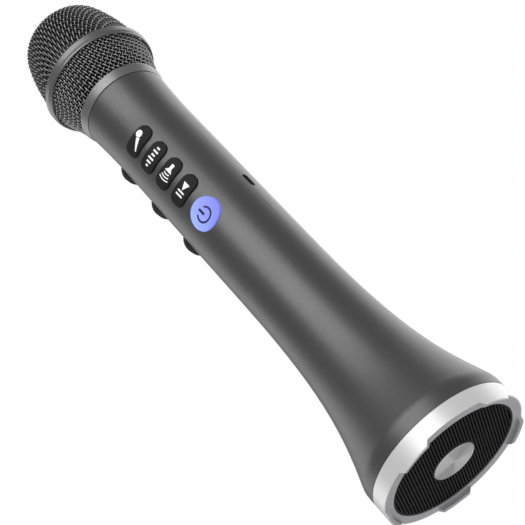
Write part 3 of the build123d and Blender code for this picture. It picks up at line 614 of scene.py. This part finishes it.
def dome_line(depth, foot, samples):
    """Radii and heights from the pole down to the foot, `depth` mm inside the dome's outer line."""
    side_turn = math.radians(SIDE_TURN)
    crown_turn = math.radians(90 - CROWN_HALF)
    side_x = DOME_R - SIDE_R
    shoulder_x = side_x + (SIDE_R - SHOULDER_R) * math.cos(side_turn)
    shoulder_z = DOME_FOOT + (SIDE_R - SHOULDER_R) * math.sin(side_turn)
    shoulder = SHOULDER_R - depth
    crown = (shoulder_x + shoulder * math.cos(crown_turn)) / math.cos(crown_turn)
    crown_z = shoulder_z + (shoulder - crown) * math.sin(crown_turn)
    r = []
    z = []
    for centre_x, centre_z, radius, start, end in (
            (0.0, crown_z, crown, math.pi / 2, crown_turn),
            (shoulder_x, shoulder_z, shoulder, crown_turn, side_turn),
            (side_x, DOME_FOOT, SIDE_R - depth, side_turn, 0.0)):
        turn = np.linspace(start, end, samples)
        r.append(centre_x + radius * np.cos(turn))
        z.append(centre_z + radius * np.sin(turn))
    r.append(np.array([DOME_R - depth]))
    z.append(np.array([foot]))
    return np.clip(np.concatenate(r), 0.0, None) * MM, np.concatenate(z) * MM


def dome_net():
    """The net over the dome. Towards the band its wires spread down the side and close up round it."""
    woven_net("dome_mesh",
              Meridian(*dome_line(0.0, NET_FOOT, samples=400),
                       reach=lambda way: 0.60 * way - 0.0033 * way ** 2,
                       skew=lambda way: -1.75e-5 * way ** 3),
              "mesh_dome", (0.46 * MM, 0.20 * MM), (1.0, 0.35))


CUP_FOOT = (20.5, 224.0)        # the net goes in behind the collar's upper edge
CUP_MIDDLE = (22.75, 232.6)
CUP_TOP = (DOME_R, 240.8)
CUP_END = 242.8                 # behind the band
CUP_TUCK = 0.45                 # how far the foot is drawn in
TUCK_RISE = 1.5                 # and over what height


def cup_line(samples=200):
    """Radii and heights of the cup's outer line, from the collar up to the band."""
    height = np.linspace(CUP_FOOT[1], CUP_TOP[1], samples)
    bow = np.polyfit(*zip(*[(z, r) for r, z in (CUP_FOOT, CUP_MIDDLE, CUP_TOP)]), 2)
    radius = np.polyval(bow, height) - CUP_TUCK * np.exp(-(height - CUP_FOOT[1]) / TUCK_RISE)
    return np.append(radius, CUP_TOP[0]) * MM, np.append(height, CUP_END) * MM


def cup_net():
    """The net of the cup. Its middle would be below, inside the handle, so its foot is 12.6 wires out."""
    woven_net("cup_mesh",
              Meridian(*cup_line(),
                       reach=lambda way: 12.6 + 0.40 * way + 0.004 * way ** 2,
                       skew=lambda way: -0.083 * way),
              "mesh_cup", (0.40 * MM, 0.26 * MM), (1.0, 0.7))


FOAM_OUT = 1.2                  # how far inside the dome's outer line the foam begins and ends
FOAM_IN = 3.4
FOAM_FOOT = 243.0
FOAM_CUP = ((24.1, 240.6), (22.6, 236.0), (20.8, 231.0), (18.5, 231.0), (20.2, 236.0))
FOAM_POLE = 0.02                # smallest radius, near the pole


def foam_liner():
    """Foam behind the net: a dome above the band, and a cup that follows the net below it."""
    outer, inner = ([(max(r, FOAM_POLE * MM), z) for r, z in zip(*dome_line(depth, FOAM_FOOT, samples=14))]
                    for depth in (FOAM_OUT, FOAM_IN))
    lower = [(r * MM, z * MM) for r, z in FOAM_CUP]
    piece = lathe("foam_lining", "foam", "head", outer + lower + list(reversed(inner)))
    face_outwards(piece, gap=0.03 * MM)
    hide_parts("foam_liner")


dome_net()
cup_net()
foam_liner()


# ================================================================ printed symbols
CROWN_R = 19.45 * MM            # radius of the keys' crowns about the axis
PRINT_T = 0.03 * MM             # half of a print's thickness


def wrap(x, z, level, lift):
    """A point of a key's face, in metres: x to the right along the crown, z up from the level."""
    r = CROWN_R + lift
    a = -math.pi / 2 + x / CROWN_R
    return (r * math.cos(a), r * math.sin(a), level + z)


def ribbons(name, slot, node, body, strips):
    """Printed strips on a key's crown. A strip is a list of (x, z, width) along its middle, in mm."""
    low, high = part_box(node)
    level = (low.z + high.z) / 2
    vertices = []
    faces = []
    for strip in strips:
        first = len(vertices)
        count = len(strip)
        for i, (x, z, width) in enumerate(strip):
            before = strip[max(i - 1, 0)]
            after = strip[min(i + 1, count - 1)]
            dx = after[0] - before[0]
            dz = after[1] - before[1]
            length = math.hypot(dx, dz)
            side = (-dz / length * width / 2, dx / length * width / 2)
            for lift in (PRINT_T, -PRINT_T):
                for sign in (1, -1):
                    vertices.append(wrap((x + sign * side[0]) * MM, (z + sign * side[1]) * MM, level, lift))
        for i in range(count - 1):
            a = first + 4 * i
            b = a + 4
            for p, q in ((0, 1), (1, 3), (3, 2), (2, 0)):
                faces.append((a + p, a + q, b + q, b + p))
        end = first + 4 * (count - 1)
        faces.append((first, first + 2, first + 3, first + 1))
        faces.append((end + 1, end + 3, end + 2, end))
    piece = new_piece(name, slot, body, vertices, faces)
    face_outwards(piece)
    for face in piece.data.polygons:
        face.use_smooth = False


def bar(x1, z1, x2, z2, width, width_end=None, parts=8):
    """A straight strip whose width may change evenly."""
    end = width if width_end is None else width_end
    steps = [i / parts for i in range(parts + 1)]
    return [(x1 + (x2 - x1) * t, z1 + (z2 - z1) * t, width + (end - width) * t) for t in steps]


def arc(x, z, radius, start, end, width, parts=28):
    """A curved strip about (x, z), with angles in degrees."""
    turns = [math.radians(start + (end - start) * i / parts) for i in range(parts + 1)]
    return [(x + radius * math.cos(t), z + radius * math.sin(t), width) for t in turns]


def disc(x, z, radius, heading, parts=24):
    """A round spot as one strip along that heading: the width follows the circle."""
    turns = [math.pi * (0.02 + 0.96 * i / parts) for i in range(parts + 1)]
    dx = radius * math.cos(heading)
    dz = radius * math.sin(heading)
    return [(x - math.cos(t) * dx, z - math.cos(t) * dz, 2 * radius * math.sin(t)) for t in turns]


MIC_BALL = (2.6, 1.5)
MIC_BALL_R = 1.6
MIC_TIP = (-4.0, -2.3)
LEVELS = (1.4, 2.6, 3.4, 2.2, 3.0, 1.8)     # heights of the level bars
LEVEL_STEP = 1.7
SOUND_RINGS = (3.6, 4.9, 6.2)               # radii of the loudspeaker's sound waves


def vocal_symbol():
    """A hand microphone: a ball, and a handle that narrows."""
    turn = math.atan2(MIC_TIP[1] - MIC_BALL[1], MIC_TIP[0] - MIC_BALL[0])
    gap = MIC_BALL_R + 0.15
    neck = (MIC_BALL[0] + gap * math.cos(turn), MIC_BALL[1] + gap * math.sin(turn))
    ribbons("vocal_symbol", "icon_print", "vocal_button", "vocal_key",
            [disc(*MIC_BALL, MIC_BALL_R, turn), bar(*neck, *MIC_TIP, 1.9, 0.6)])


def mode_symbol():
    """A row of level bars."""
    places = [LEVEL_STEP * (i - (len(LEVELS) - 1) / 2) for i in range(len(LEVELS))]
    ribbons("mode_symbol", "icon_print", "mode_button", "mode_key",
            [bar(x, -height / 2, x, height / 2, 0.8) for x, height in zip(places, LEVELS)])


def volume_symbol():
    """A loudspeaker with three sound waves."""
    ribbons("volume_symbol", "icon_print", "volume_button", "volume_key",
            [bar(4.3, 0, 2.1, 0, 1.6), bar(2.1, 0, 0.6, 0, 1.6, 4.3)]
            + [arc(3.0, 0, radius, 180 - 27, 180 + 27, 0.5) for radius in SOUND_RINGS])


def play_symbol():
    """A triangle and two bars."""
    ribbons("play_symbol", "icon_print", "play_button", "play_key",
            [bar(3.1, 0, -0.2, 0, 3.7, 0.05)] + [bar(x, 2.0, x, -2.0, 0.7) for x in (-1.05, -2.65)])


def power_symbol():
    """An open ring with a bar in its gap."""
    ribbons("power_symbol", "icon_navy", "power_button", "power_key",
            [arc(-0.3, -0.5, 3.15, 90 + 38, 90 + 322, 0.85, 60), bar(-0.3, 3.1, -0.3, -0.6, 1.1)])


vocal_symbol()
mode_symbol()
volume_symbol()
play_symbol()
power_symbol()


# ================================================================ loudspeaker cloth
CLOTH_T = 0.12 * MM
CLOTH_BOW = 0.08 * MM
CLOTH_GAP = 0.1 * MM            # to the edge of its seat


def dust_cloth(rings=24, segments=96):
    """Acoustic cloth stretched behind the grille, with a slight bow."""
    low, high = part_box("dust_cloth")
    radius = high.x - CLOTH_GAP
    top = []
    for i in range(rings + 1):
        r = radius * i / rings
        bow = CLOTH_BOW * math.cos(math.pi / 2 * i / rings)
        count = 1 if i == 0 else segments
        for k in range(count):
            a = 2 * math.pi * k / segments
            top.append((r * math.cos(a), r * math.sin(a), (low.z + high.z) / 2 + bow))
    faces = [(0, 1 + k, 1 + (k + 1) % segments) for k in range(segments)]
    for i in range(1, rings):
        a = 1 + (i - 1) * segments
        b = a + segments
        for k in range(segments):
            m = (k + 1) % segments
            faces.append((a + k, b + k, b + m, a + m))
    piece = new_piece("acoustic_cloth", "cloth_black", "handle", top, faces)
    thick = piece.modifiers.new("thickness", "SOLIDIFY")
    thick.thickness = CLOTH_T
    thick.offset = 0.0
    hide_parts("dust_cloth")


dust_cloth()


# ================================================================ stage
FLOOR_Z = -0.9                  # the camera looks up at the base, so the floor is low
FLOOR_HALF = 6.0
FLOOR_GLOW = 0.2                # stands for the studio's light, which the floor is too far away to catch


def add_floor():
    """A plain pale floor."""
    mesh = bpy.data.meshes.new("floor")
    corners = [(x * FLOOR_HALF, y * FLOOR_HALF, FLOOR_Z) for x, y in ((-1, -1), (1, -1), (1, 1), (-1, 1))]
    mesh.from_pydata(corners, [], [(0, 1, 2, 3)])
    floor = bpy.data.objects.new("floor", mesh)
    bpy.context.scene.collection.objects.link(floor)
    f = Finish("floor_pale", specular=0.2)
    slow = f.noise(400)
    f.glow(WHITE, FLOOR_GLOW)
    mesh.materials.append(f.done(f.blend(slow, colour(0.78), colour(0.84)), f.spread(slow, 0.7, 0.8)))


add_floor()
